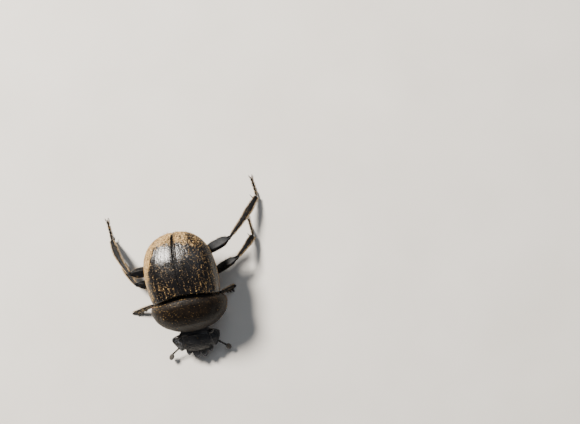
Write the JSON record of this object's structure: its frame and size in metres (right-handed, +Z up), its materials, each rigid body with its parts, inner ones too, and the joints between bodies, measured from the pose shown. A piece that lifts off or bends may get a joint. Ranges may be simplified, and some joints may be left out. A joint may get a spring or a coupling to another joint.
{
  "type": "dung beetle",
  "caption": "Large ball-rolling dung beetle, dull black and dusty, standing nose-down: toothed shovel head, domed pronotum, closed elytra, digging fore legs and long thin hind legs.",
  "frame": {"origin": "on the floor, at the middle of the ground that the whole standing beetle covers", "axes": "the head faces -Y and the rear +Y, the beetle's left is +X, and +Z is up"},
  "size_m": [0.0425, 0.0449, 0.0161],
  "materials": {
    "shell": "dull black horny plate, finely granular, with ochre dust in its hollows and along its edges",
    "underside": "satin brown-black horny plate with coarse pits",
    "leg": "satin blue-black horn with fine pits and rubbed edges",
    "feeler": "dark brown horn, downy grey on the clubs",
    "eye": "glossy black-brown with fine facets",
    "claw": "polished dark red-brown horn",
    "bristle": "stiff straw-coloured to rusty bristles"
  },
  "bodies": {
    "root": {"abdomen": "underside", "antenna_club_left": "feeler", "antenna_club_right": "feeler", "antenna_left": "feeler", "antenna_right": "feeler", "claws_hind_left": "claw", "claws_hind_right": "claw", "claws_mid_left": "claw", "claws_mid_right": "claw", "coxa_fore_left": "underside", "coxa_fore_right": "underside", "coxa_hind_left": "underside", "coxa_hind_right": "underside", "coxa_mid_left": "underside", "coxa_mid_right": "underside", "elytron_left": "shell", "elytron_right": "shell", "eye_left": "eye", "eye_right": "eye", "femur_fore_left": "leg", "femur_fore_right": "leg", "femur_hind_left": "leg", "femur_hind_right": "leg", "femur_mid_left": "leg", "femur_mid_right": "leg", "head": "shell", "metasternum": "underside", "mouthparts": "underside", "palp_left": "feeler", "palp_right": "feeler", "pronotum": "shell", "prosternum": "underside", "pygidium": "underside", "tarsus_hind_left": "leg", "tarsus_hind_right": "leg", "tarsus_mid_left": "leg", "tarsus_mid_right": "leg", "tibia_fore_left": "leg", "tibia_fore_right": "leg", "tibia_hind_left": "leg", "tibia_hind_right": "leg", "tibia_mid_left": "leg", "tibia_mid_right": "leg"}
  },
  "joints": []
}
